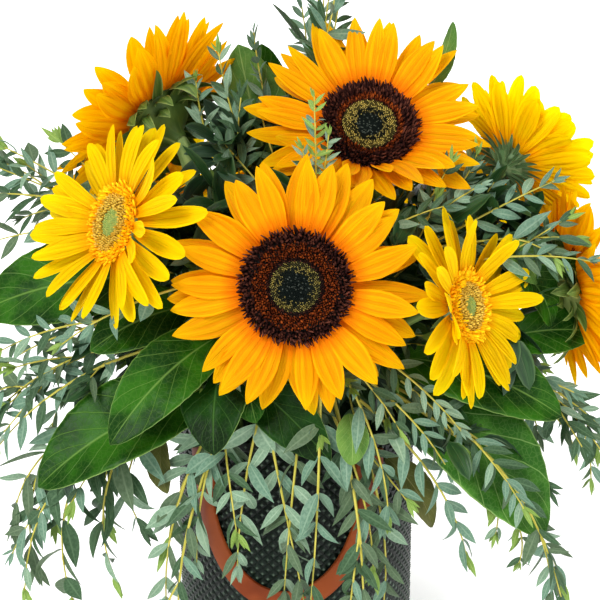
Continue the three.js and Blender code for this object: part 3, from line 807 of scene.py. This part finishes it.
# For each kind of bloom: the disc's radius, the number of its florets and their finishes, of which
# plate is also that of the plate below them; the stem's radius at foot and neck, and where it meets
# the cup; how far bracts hook back; the cup's profile as radius and height in parts of the disc.
# Rows of rays: count, start and depth in parts of the disc, length in parts of what is left, width,
# lift, curl, spread. Rows of bracts: count, start and depth in parts of the disc, length, width.
# Zones of the disc from its middle out: height, width, taper, lean outwards, finish.
KINDS = {
    "sunflower": dict(
        disc=31.0, florets=2300, finishes=SUN_FLORETS, plate=3, stem=(5.0, 5.0), back=0.62, hook=1.0,
        outline=sun_outline, ray=SUN_RAY, bract=SUN_BRACT, stalk=SUN_STEM,
        rays=[(21, 0.93, -0.17, 1.02, 17.0, -5, -8, 7), (19, 0.95, -0.05, 0.95, 16.0, 8, 0, 9)],
        bracts=[(17, 0.96, -0.20, 27, 13), (13, 0.90, -0.32, 24, 13), (8, 0.74, -0.46, 18, 10)],
        cup=[
            (0.20, -1.0), (0.25, -0.86), (0.36, -0.72), (0.58, -0.58), (0.84, -0.40), (1.0, -0.14),
            (0.99, 0.02)],
        zones=[
            (1.3, 0.44, 0.45, 0, 3), (1.5, 0.42, 0.45, 0, 4), (1.7, 0.41, 0.6, 0, 2),
            (2.0, 0.54, 0.40, 8, 0), (3.4, 0.62, 0.45, 14, 1), (4.8, 0.70, 0.42, 26, 0)]),
    "gerbera": dict(
        disc=19.0, florets=760, finishes=GERBERA_FLORETS, plate=0, stem=(3.2, 2.8), back=0.74, hook=0.3,
        outline=gerbera_outline, ray=GERBERA_RAY, bract=GERBERA_BRACT, stalk=GERBERA_STEM,
        rays=[(20, 0.78, -0.20, 1.0, 12.8, -4, -12, 8), (18, 0.78, -0.06, 0.94, 11.6, 9, 0, 12)],
        bracts=[(22, 0.72, -0.38, 16, 3.4), (18, 0.56, -0.56, 14, 3.2), (12, 0.36, -0.68, 10, 3.0)],
        cup=[(0.15, -0.74), (0.34, -0.72), (0.60, -0.55), (0.84, -0.20), (0.86, 0.02)],
        zones=[(1.3, 0.62, 0.60, 0, 2), (2.3, 0.50, 0.75, 6, 1), (3.8, 0.66, 0.75, 30, 0)]),
}
# Where the zones begin and end, as a share of the disc's radius, in a kind or in one bloom
EDGES = {
    "sunflower": [0, 0.27, 0.37, 0.49, 0.56, 0.82, 1.06],
    "sunflower_top": [0, 0.29, 0.42, 0.61, 0.64, 0.74, 1.06],
    "gerbera": [0, 0.31, 0.74, 1.08],
    "gerbera_left": [0, 0.38, 0.80, 1.08],
}
# How each bloom differs: direction on its face, extra lift of its rays on that side and opposite, all
# round, then how large its disc is, how many rays it has and how wide they are
MOODS = {
    "sunflower_front": (0, 0, 0, 0, 0.95, 1.0, 1.0),
    "sunflower_top": (-95, 48, 14, 0, 0.86, 1.2, 0.88),
    "sunflower_left": (0, 0, 0, 12, 0.82, 1.2, 1.0),
    "sunflower_right": (0, 0, 0, 16, 0.86, 1.2, 0.95),
    "gerbera_left": (218, 34, -4, 0, 1.14, 1.05, 0.95),
    "gerbera_right": (0, 22, 14, 0, 1.0, 1.05, 0.92),
    "gerbera_far_right": (0, 0, 0, 22, 0.8, 1.2, 1.1),
}
PLAIN = (0, 0, 0, 0, 1.0, 1.0, 1.0)
# Squares on a side of the rays' colour map, and a head's shares of its own: left, low, width, height
RAY_CELLS = 8
FLORET_CELL = (0, 0, 0.75, 0.75)
CUP_CELL = (0.77, 0.0, 0.2, 0.3)
PLATE_CELL = (0.77, 0.32, 0.2, 0.3)
BRACT_CELLS = dict(side=8, low=0.77, share=0.22)


def radial(look, angle):
    """Directions out from the middle of a face, and along its rim."""
    across, upward = frame_round(look)
    turn = np.asarray(angle, float)[..., None]
    return across * np.cos(turn) + upward * np.sin(turn), -across * np.sin(turn) + upward * np.cos(turn)


def whorl(count, shift, loose, draw):
    """The angles of a row of rays or bracts, evenly round but for a little looseness."""
    return math.tau * (np.arange(count) + shift) / count + draw.normal(0, loose, count)


def make_rays(name, kind, radius, centre, look, draw):
    direction, near, far, cup, size, crowd, breadth = MOODS.get(name, PLAIN)
    disc = KINDS[kind]["disc"] * size
    piece = Piece(name + "_rays_grown")
    done = 0
    for count, start, depth, part, width, lift, curl, spread in KINDS[kind]["rays"]:
        count = round(count * crowd)
        angle = whorl(count, 0.5 * (done > 0), 0.05, draw)
        out, _ = radial(look, angle)
        toward = np.cos(angle - math.radians(direction))
        extra = cup + np.where(toward > 0, near, far) * np.abs(toward) ** 1.5
        base = centre + out * start * disc + look * depth * disc
        length = (radius - start * disc) * part * draw.uniform(0.97, 1.1, count)
        raised = lift + extra + draw.normal(0, spread * 0.5, count)
        curled = curl + draw.normal(0, spread * 1.6, count) + extra * 1.2
        dish = draw.uniform(-0.05, 0.45, count)[:, None] * RAY.t**2
        ridge = 0.13 * np.cos(3 * math.pi * RAY.t) * np.clip(RAY.s * 3, 0, 1)
        places = blades(
            RAY, base, out, look, length, width * breadth * draw.uniform(0.85, 1.1, count),
            KINDS[kind]["outline"], np.radians(raised), np.radians(curled),
            twist=draw.normal(0, 0.16, count), sway=draw.normal(0, 0.07, count), relief=dish + ridge)
        cells = cells_of(np.arange(count) + done, RAY_CELLS)
        piece.add(RAY, places, tone=draw.uniform(0, 1, count), cell=cells)
        done += count
    piece.make([KINDS[kind]["ray"]], kind + "_ray", [name + "_rays"])


def add_florets(piece, name, kind, disc, centre, look, draw):
    """Set florets in a spiral, in zones that differ in size, lean and finish."""
    total = KINDS[kind]["florets"]
    order = np.arange(total)
    spread = ((order + 0.5) / total) ** 0.64 * 1.05
    angle = order * GOLDEN_TURN
    out, rim = radial(look, angle)
    jitter = draw.normal(0, 1, (total, 3))
    edges = EDGES.get(name, EDGES[kind])
    plane = np.stack(frame_round(look), 1)
    for low, high, (height, width, taper, lean, finish) in zip(edges, edges[1:], KINDS[kind]["zones"]):
        own = (spread >= low) & (spread < high)
        r, o, j = spread[own], out[own], jitter[own]
        tilt = np.radians(lean * (0.4 + (r - low) / (high - low)) + 0.5 * lean * j[:, 0])[:, None]
        axis = unit(look * np.cos(tilt) + o * np.sin(tilt) + rim[own] * (0.012 * lean * j[:, 1:2]))
        rise = 0.06 * disc * (1 - (2 * r - 1) ** 2)
        base = centre + o * (r * disc * 0.985)[:, None] + look * rise[:, None]
        first = unit(np.cross(axis, rim[own]))
        size = width * (1 + (taper - 1) * FLORET.s**1.5) * (1 + 0.12 * np.sin(math.pi * FLORET.s))
        size = size[None] * (1 + 0.1 * j[:, 2:3])
        clump = np.sin(9 * angle[own] + 7 * r) * np.sin(4 * angle[own] - 11 * r)
        tall = height * (1 + (0.2 * j[:, 1] + 0.25 * clump) * (lean > 0))[:, None] * FLORET.s
        ring = FLORET.rings(first[:, None], np.cross(axis, first)[:, None])
        places = base[:, None] + axis[:, None] * tall[..., None] + ring * size[..., None]
        flat = (places - centre) @ plane / (2.5 * disc) + 0.5
        piece.add(FLORET, places, finish, draw.uniform(0, 1, len(r)), FLORET_CELL, flat)


def make_head(name, kind, centre, look, draw):
    """The disc with all its florets, the green cup behind it and the bracts round it."""
    made = KINDS[kind]
    spread, size = MOODS.get(name, PLAIN)[3:5]
    disc = made["disc"] * size
    finishes = made["finishes"] + [made["bract"]]
    green = len(finishes) - 1
    piece = Piece(name + "_head_grown")
    cup = [(radius * disc, height * disc) for radius, height in made["cup"]]
    piece.add(DOME, turned(DOME, centre, look, cup), green, cell=CUP_CELL)
    plate = [(0.99 * disc, 0.02 * disc), (0.8 * disc, 0.07 * disc), (0.4 * disc, 0.05 * disc), (0.2, 0.0)]
    piece.add(DOME, turned(DOME, centre, look, plate), made["plate"], 0.5, PLATE_CELL)
    add_florets(piece, name, kind, disc, centre, look, draw)
    done = 0
    for count, start, depth, length, width in made["bracts"]:
        out, _ = radial(look, whorl(count, 0.3 * done, 0.08, draw))
        places = blades(
            BRACT, centre + out * start * disc + look * depth * disc, out, look,
            length * draw.uniform(0.8, 1.1, count), width * draw.uniform(0.85, 1.1, count), bract_outline,
            math.radians(spread) - np.abs(draw.normal(0.12, 0.16, count)),
            -np.abs(draw.normal(1.5, 0.7, count)) * made["hook"],
            twist=draw.normal(0, 0.4, count), relief=-0.35 * BRACT.t**2)
        piece.add(BRACT, places, green, cell=cells_of(np.arange(count) + done, **BRACT_CELLS))
        done += count
    piece.make(finishes, kind + "_disc", [name + "_head"])


def make_stem(name, kind, centre, look, foot, climb, neck):
    """A stem that climbs out of the foam, bends over and widens into the cup."""
    made = KINDS[kind]
    end = centre - look * made["back"] * made["disc"] * 0.97
    start = place_at(*foot, STEM_FOOT_HEIGHT)
    first, second = start + UP * climb, end - look * neck
    q = STALK.s[:, None]
    spine = (1 - q) ** 3 * start + 3 * q * (1 - q) ** 2 * first + 3 * q**2 * (1 - q) * second + q**3 * end
    onward = (1 - q) ** 2 * (first - start) + 2 * q * (1 - q) * (second - first) + q**2 * (end - second)
    heading = unit(onward)
    side = unit(np.cross(heading, unit(np.cross(UP, look)) + 0.01))
    angle = np.arctan2(STALK.d, STALK.t)
    size = made["stem"][0] + (made["stem"][1] - made["stem"][0]) * STALK.s
    size = size * (1 + 0.035 * np.cos(7 * angle)) * (1 + 0.5 * np.clip((STALK.s - 0.93) / 0.07, 0, 1) ** 2)
    piece = Piece(name + "_stem_grown")
    piece.add(STALK, (spine + size[:, None] * STALK.rings(side, np.cross(heading, side)))[None])
    piece.make([made["stalk"]], kind + "_stem", [name + "_stem"])


# ---- broad leaves ----

BROAD = Pattern(26, 12)
BROAD_CELL = (0.02, 0.02, 0.96, 0.96)
FILL_LOOKS = ("top", "under", "olive")
# Leaves whose top is painted paler as light or darker as shade, in place of the usual green
LEAF_TOPS = {"leaf_low_right": SALAL_PAINTED_LIGHT, "leaf_front": SALAL_PAINTED_SHADE, "leaf_front_low": SALAL_PAINTED_SHADE}


def broad_places(start, end, width, arch, roll, draw):
    """A broad leaf's corners: folded at the midrib, waved and finely toothed along its edges."""
    first, middle, last, across, normal = arched_path(start, end, arch, roll)
    points, _ = bezier(first, middle, last, BROAD.s)
    tooth = 1 + 0.012 * np.sin(BROAD.s * 90 + draw.uniform(0, 6))
    half = salal_outline(BROAD.s) * width / 2 * tooth
    aside = np.abs(BROAD.t)
    wave = 0.05 * np.sin(BROAD.s * draw.uniform(7, 11) + BROAD.t * 1.5 + draw.uniform(0, 6))
    pucker = -0.035 * np.abs(np.cos(math.pi * 7 * (BROAD.s - 0.34 * aside**0.8)))
    height = aside * 0.26 + wave * aside + pucker * (aside > 0.05)
    return points - across * (BROAD.t * half)[:, None] + normal * (height * half + 0.3)[:, None]


def make_broad_leaves():
    for number, (name, shape) in enumerate(BROAD_LEAVES.items()):
        piece = Piece(name + "_grown")
        places = broad_places(*shape, np.random.default_rng(SEEDS["broad"] + number))
        piece.add(BROAD, places[None], cell=BROAD_CELL)
        leaf = piece.make([LEAF_TOPS.get(name, SALAL_TOP), SALAL_UNDER], "salal_leaf", [name])
        thicken(leaf, LEAF_THICKNESS, -1, 1)
    draw = np.random.default_rng(SEEDS["between"])
    piece = Piece("leaves_between")
    for number, (*shape, look) in enumerate(FILL_LEAVES):
        finish = FILL_LOOKS.index(look)
        piece.add(BROAD, broad_places(*shape, draw)[None], finish, cell=cells_of([number], 4)[0])
    piece.make([SALAL_TOP, SALAL_UNDER, SALAL_OLIVE], "salal_leaf")


# ---- eucalyptus ----

WILLOW = Pattern(8, 2)
SHOOT = Pattern(10, 6, rolled=True)
# How closely the leaves sit, by region, where they aren't as close as elsewhere
CROWDED = {"front": 0.68, "right": 0.78, "left": 0.72}
# Leaves on the front half turn their faces this way
TO_LIGHT = np.array([-0.2, -0.85, 0.45])
# The finish of young leaves; then those of a mass's sprigs in turn, and the length of their leaves
YOUNG = 4
MASS_FINISHES = (2, 0, 3, 1)
MASS_LEAF = 18
# A sprig's leaves: how much longer than its given size, the gap between pairs in parts of that length,
# the share of them that are short and round, and how many close in at the tip
LEAF_GROWTH = 1.3
PAIR_GAP = 0.52
ROUND_SHARE = 0.05
TIP_LEAVES = 5
# How far behind and in front of a bloom's face foliage stays out of its way
CLEARANCE = (-16, 55)


def clear_of_blooms(point):
    """Whether a point lies clear of the space before every bloom."""
    for _, radius, at, face, *_ in BLOOMS.values():
        off = point - place_at(*at)
        look = facing(*face)
        ahead = off @ look
        if CLEARANCE[0] < ahead < CLEARANCE[1] and np.linalg.norm(off - look * ahead) < radius * 1.02:
            return False
    return True


class Spray:
    """Leaves and twigs, gathered sprig by sprig."""

    def __init__(self, seed):
        self.draw = np.random.default_rng(seed)
        self.leaves = []
        self.twigs = []

    def sprig(self, root, tip, bow, size, main, crowded=1.0):
        """One stem with leaves in opposite pairs, closing in a young shoot."""
        draw = self.draw
        span = tip - root
        long = np.linalg.norm(span)
        middle = (root + tip) / 2
        away = unit(middle * [1, 1, 0]) * 0.7 + UP * 0.6
        bulge = unit(away - unit(span) * (away @ unit(span)))
        control = middle + bulge * 2 * bow
        lit = 1.3 * min(max((60 - root[1]) / 60, 0), 1)
        face = unit(bulge * 0.6 + TO_LIGHT * lit + UP * 0.1)
        self.twigs.append((*root, *control, *tip, 0.45 + long / 220, 0.4))
        size = size * LEAF_GROWTH
        pairs = max(3, round(long / (size * PAIR_GAP) * crowded))
        spin = draw.uniform(-0.35, 0.35)
        for number in range(pairs):
            q = 0.1 + 0.86 * (number + draw.uniform(0.3, 0.7)) / pairs
            point, heading = bezier(root, control, tip, q)
            side = unit(np.cross(heading, face))
            side = turned_by(side, heading, spin + (number % 2) * 0.6 - 0.3 + draw.normal(0, 0.2))
            for hand in (-1, 1):
                spread = math.radians(52 - 22 * q + draw.normal(0, 9))
                out = hand * side * math.sin(spread) + heading * math.cos(spread)
                out = unit(out - UP * 0.12 + draw.normal(0, 0.06, 3))
                top = unit(face + draw.normal(0, 0.5, 3) + UP * 0.15)
                length = size * (1.05 - 0.35 * q) * draw.uniform(0.82, 1.15)
                width = length * draw.uniform(0.22, 0.31)
                if draw.uniform() < ROUND_SHARE:
                    length, width = length * 0.7, width * 1.5
                own = main if draw.uniform() < 0.55 else int(draw.integers(0, 4))
                lift, curl = draw.normal(0.05, 0.12), draw.normal(-0.3, 0.3)
                self.leaves.append((*point, *out, *top, length, width, lift, curl, own))
        own = YOUNG if draw.uniform() < 0.6 else main
        point, heading = bezier(root, control, tip, 1.0)
        for number in range(TIP_LEAVES):
            side = unit(np.cross(heading, unit(draw.normal(0, 1, 3))))
            spread = math.radians(draw.uniform(6, 30))
            out = heading * math.cos(spread) + side * math.sin(spread)
            length = size * draw.uniform(0.35, 0.65)
            back = point - heading * size * 0.15 * number / TIP_LEAVES
            top, curl = unit(face + side * 0.4), draw.normal(0, 0.2)
            self.leaves.append((*back, *out, *top, length, length * 0.22, 0.0, curl, own))

    def limb(self, start, end, width, depth, arch, count, crowded):
        """A main stem through a mass, with sprigs that grow on from it and fill the mass's shape."""
        draw = self.draw
        first, middle, last, across, normal = arched_path(start, end, arch)
        for number in range(count):
            q = 0.04 + 0.72 * (number + draw.uniform(0, 1)) / count
            root, _ = bezier(first, middle, last, q)
            reach = min(0.97, q + draw.uniform(0.25, 0.5))
            axis, _ = bezier(first, middle, last, reach)
            room = math.sqrt(max(0.05, 1 - (2 * reach - 1) ** 2)) * 0.86
            turn = number * GOLDEN_TURN
            tip = axis + across * math.cos(turn) * width * room + normal * math.sin(turn) * depth * room
            if clear_of_blooms(tip):
                size = MASS_LEAF * draw.uniform(0.85, 1.1)
                self.sprig(root, tip, draw.uniform(0, 5), size, MASS_FINISHES[number % 4], crowded)
        self.sprig(first, last, arch, MASS_LEAF * 1.1, MASS_FINISHES[0], crowded)

    def make(self, name, replaces=()):
        """Join the leaves into one piece and the twigs into another."""
        *shape, lift, curl, own = unpacked(self.leaves)
        own = own.astype(int)
        places = blades(WILLOW, *shape, willow_outline, lift, curl, relief=0.36 * np.abs(WILLOW.t))
        leaves = Piece(name + "_leaves")
        leaves.add(WILLOW, places, own, cell=cells_of(own, 3))
        leaves.make(EUCALYPTUS, "eucalyptus", replaces)
        twigs = Piece(name + "_twigs")
        twigs.add(SHOOT, tubes(SHOOT, *unpacked(self.twigs)))
        twigs.make([TWIG], "eucalyptus")


def make_eucalyptus():
    for number, region in enumerate(SPRIGS):
        spray = Spray(SEEDS["sprays"] + number)
        crowded = CROWDED.get(region, 1.0)
        for root, tip, bow, size, main in SPRIGS[region]:
            spray.sprig(place_at(*root), place_at(*tip), bow, size, main, crowded)
        names = [name for name in MASSES if MASSES[name][5] == region]
        for start, end, width, depth, arch, _, count in (MASSES[name] for name in names):
            if count:
                spray.limb(start, end, width, depth, arch, count, crowded)
        spray.make("eucalyptus_" + region, names)


# ---- shaded foliage inside ----

# Shaded leaves within each mass, by region
INSIDE = {"top": 30, "left": 12, "front": 0, "right": 8, "back": 24}
# Gaps between the blooms that leaves fill: bearing, reach and height, how far round it, how many
POCKETS = [
    (60, 84, 300, 30, 34), (78, 112, 262, 34, 40), (58, 104, 250, 30, 30), (96, 84, 300, 34, 30),
    (-80, 34, 318, 34, 36), (-64, 84, 276, 34, 36), (-20, 60, 300, 26, 20), (-150, 44, 300, 40, 40),
    (12, 60, 286, 26, 20), (-100, 120, 250, 34, 24), (80, 116, 284, 26, 34), (-44, 58, 288, 28, 24),
    (82, 136, 272, 22, 34), (-58, 70, 262, 30, 24), (150, 60, 306, 40, 40), (66, 136, 226, 34, 30),
]
INNER = Pattern(6, 4)


def make_core(draw):
    """Dark leaves over the heart of the plant, in the gaps between blooms and inside the masses."""
    rows = []

    def leaf(number, base, out, top, loose, length):
        if clear_of_blooms(base + out * length):
            rows.append((*base, *out, *unit(top + draw.normal(0, loose, 3)), length, number % len(SHADED)))

    for number in range(CORE_LEAVES):
        level = 1 - 2 * (number + 0.5) / CORE_LEAVES
        if level < -0.75:
            continue
        out = on_ball(number * GOLDEN_TURN, level)
        base = CORE_CENTRE + out * CORE_HALF * draw.uniform(0.5, 0.86)
        heading = unit(out + draw.normal(0, 0.45, 3) - UP * 0.25)
        length = draw.uniform(30, 46) * (0.7 if out[1] < 0 and level < 0 else 1)
        leaf(number, base, heading, out + UP * 0.6, 0.3, length)
    for bearing, reach, height, room, count in POCKETS:
        middle = place_at(bearing, reach, height)
        for number in range(count):
            out = unit(draw.normal(0, 1, 3) + unit(middle - CORE_CENTRE) * 0.8)
            base = middle + out * room * draw.uniform(-0.5, 0.6)
            leaf(number, base, out, out + UP, 0.4, draw.uniform(24, 36))
    for start, end, width, depth, arch, region, _ in MASSES.values():
        first, middle, last, across, normal = arched_path(start, end, arch)
        for number in range(INSIDE[region]):
            point, heading = bezier(first, middle, last, draw.uniform(0.0, 0.4))
            turn = draw.uniform(0, math.tau)
            aside = across * math.cos(turn) * width + normal * math.sin(turn) * depth
            base = point + aside * draw.uniform(0.1, 0.5)
            out = unit(heading + unit(aside) * draw.uniform(0.2, 0.8) - UP * 0.15)
            leaf(number, base, out, normal, 0.3, draw.uniform(26, 38))
    count = len(rows)
    base, out, top, length, own = unpacked(rows)
    own = own.astype(int)
    places = blades(
        INNER, base, out, top, length, length * draw.uniform(0.3, 0.44, count), salal_outline,
        draw.normal(0.1, 0.2, count), draw.normal(-0.4, 0.3, count), relief=0.25 * np.abs(INNER.t))
    piece = Piece("shaded_leaves")
    piece.add(INNER, places, own, cell=cells_of(own, 2))
    piece.make(SHADED, "shaded_foliage", ["foliage_core"])


def make_heart(draw):
    """Short sprigs that stand out between the blooms."""
    spray = Spray(SEEDS["heart"])
    for number in range(HEART_SPRIGS):
        out = on_ball(number * GOLDEN_TURN + 0.4, 0.98 - 1.5 * (number + 0.5) / HEART_SPRIGS)
        root = CORE_CENTRE + out * CORE_HALF * 0.72
        tip = root + unit(out + draw.normal(0, 0.3, 3) + UP * 0.15) * draw.uniform(34, 52)
        if clear_of_blooms(tip):
            spray.sprig(root, tip, draw.uniform(0, 3), draw.uniform(13, 17), (2, 3, 2, 0)[number % 4])
    spray.make("eucalyptus_heart")


# ---- pot and straps ----

def close_end(shell, edges, rings):
    """Carry an open end on through rings, each a radius and a height in millimetres, and close it."""
    for radius, height in rings:
        made = bmesh.ops.extrude_edge_only(shell, edges=edges)["geom"]
        edges = [part for part in made if isinstance(part, bmesh.types.BMEdge)]
        for vert in (part for part in made if isinstance(part, bmesh.types.BMVert)):
            scale = radius * MM / vert.co.xy.length
            vert.co = (vert.co.x * scale, vert.co.y * scale, height * MM)
    bmesh.ops.edgeloop_fill(shell, edges=edges)


def make_pot():
    """A straight pot pressed all over with small pyramids, with a plain lip and a plain foot."""
    around, rows = 2 * POT["columns"], 2 * POT["rows"]
    low, high = POT["pressed"]
    shell = bmesh.new()
    bmesh.ops.create_grid(shell, x_segments=around, y_segments=rows, size=1)
    valleys = []
    for vert in shell.verts:
        across = round((vert.co.x + 1) / 2 * around)
        up = round((vert.co.y + 1) / 2 * rows)
        proud = (across + up) % 2 == 0 and 0 < up < rows
        if not proud:
            valleys.append(vert)
        radius = (POT["valley"] + POT["relief"] * proud) * MM
        angle = math.tau * across / around
        height = low + (high - low) * up / rows
        vert.co = (radius * math.cos(angle), radius * math.sin(angle), height * MM)
    bmesh.ops.connect_verts(shell, verts=valleys)
    bmesh.ops.remove_doubles(shell, verts=shell.verts, dist=1e-6)
    ends = [edge for edge in shell.edges if edge.is_boundary]
    top = [edge for edge in ends if edge.verts[0].co.z > high / 2 * MM]
    foot = [edge for edge in ends if edge.verts[0].co.z < high / 2 * MM]
    close_end(shell, top, POT["lip"])
    close_end(shell, foot, POT["foot"])
    bmesh.ops.recalc_face_normals(shell, faces=shell.faces)
    settle(mesh_of(shell, "pot_lattice"), [pot_finish()], ["pot"])


def make_strap(name, bearing, finish):
    """A flat strap that hangs in a bow against the pot, with an ear at each end."""
    reach = POT["radius"] + STRAP["standoff"]
    band = bmesh.new()
    bmesh.ops.create_grid(band, x_segments=64, y_segments=2, size=1)

    def spine(t):
        offset = -STRAP["half_span"] * math.cos(t)
        return np.array([math.radians(offset) * reach, STRAP["top"] - STRAP["drop"] * math.sin(t)])

    for vert in band.verts:
        t = min(max((vert.co.x + 1) / 2 * math.pi, 0.02), math.pi - 0.02)
        step = unit(spine(t + 0.01) - spine(t - 0.01))
        aside, height = spine(t) + np.array([-step[1], step[0]]) * vert.co.y * STRAP["width"] / 2
        vert.co = on_wall(math.radians(bearing) + aside / reach, reach, height)
    width, height = STRAP["ear"]
    for hand in (-1, 1):
        middle = math.radians(bearing + hand * STRAP["half_span"])
        for vert in bmesh.ops.create_grid(band, x_segments=4, y_segments=4, size=1)["verts"]:
            angle = middle + vert.co.x * width / 2 / reach
            vert.co = on_wall(angle, reach + 0.02, STRAP["top"] + vert.co.y * height / 2)
    bmesh.ops.recalc_face_normals(band, faces=band.faces)
    strap = settle(mesh_of(band, name + "_strap"), [finish], [name])
    thicken(strap, STRAP["thickness"], 1)
    edge = strap.modifiers.new("edges", "BEVEL")
    edge.width = STRAP["edge"] * MM
    edge.segments = 3
    strap.data.shade_smooth()


# ---- setting ----

def make_floor():
    ground = bmesh.new()
    bmesh.ops.create_grid(ground, x_segments=1, y_segments=1, size=8)
    floor = put("floor", mesh_of(ground, "floor"))
    floor.data.materials.append(floor_finish())


def make_light():
    """A white horizon under a greyer sky, and three soft suns."""
    world = bpy.data.worlds.new("studio")
    world.use_nodes = True
    w = Wiring(world.node_tree)
    height = w.parted(w.add("TexCoord").outputs["Generated"])[2]
    sky = w.mix(w.between(height, 0.1, 0.6), (1.0, 1.0, 1.0, 1.0), (0.5, 0.5, 0.5, 1.0))
    w.feed(world.node_tree.nodes["Background"], {"Color": sky})
    bpy.context.scene.world = world
    for name, spot, spread, power in LAMPS:
        lamp = bpy.data.lights.new(name, "SUN")
        lamp.angle = math.radians(spread)
        lamp.energy = power
        holder = put(name, lamp)
        holder.location = spot
        holder.rotation_euler = (Vector((0, 0, 0.22)) - Vector(spot)).to_track_quat("-Z", "Y").to_euler()


def make_camera():
    eye = bpy.data.cameras.new("camera")
    eye.sensor_width = CAMERA["sensor"]
    eye.lens = CAMERA["sensor"] * CAMERA["distance"] / (2 * CAMERA["half_view"])
    camera = put("camera", eye)
    tip, distance = math.radians(CAMERA["down"]), CAMERA["distance"] * MM
    aside, height = (part * MM for part in CAMERA["aim"])
    camera.location = (aside, -distance * math.cos(tip), height + distance * math.sin(tip))
    camera.rotation_euler = (math.pi / 2 - tip, 0, 0)
    bpy.context.scene.camera = camera
    bpy.context.scene.view_settings.view_transform = "Standard"


make_floor()
make_light()
make_camera()
for order, (bloom, (kind, radius, at, face, foot, climb, neck)) in enumerate(BLOOMS.items()):
    middle, look = place_at(*at), facing(*face)
    make_rays(bloom, kind, radius, middle, look, np.random.default_rng(SEEDS["rays"] + order))
    make_head(bloom, kind, middle, look, np.random.default_rng(SEEDS["heads"] + order))
    make_stem(bloom, kind, middle, look, foot, climb, neck)
make_broad_leaves()
core_draw = np.random.default_rng(SEEDS["core"])
make_core(core_draw)
make_heart(core_draw)
make_eucalyptus()
make_pot()
terracotta = strap_finish()
make_strap("handle_front", -6, terracotta)
make_strap("handle_back", 174, terracotta)
foam_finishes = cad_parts["foam"].data.materials
foam_finishes.clear()
foam_finishes.append(foam_finish())
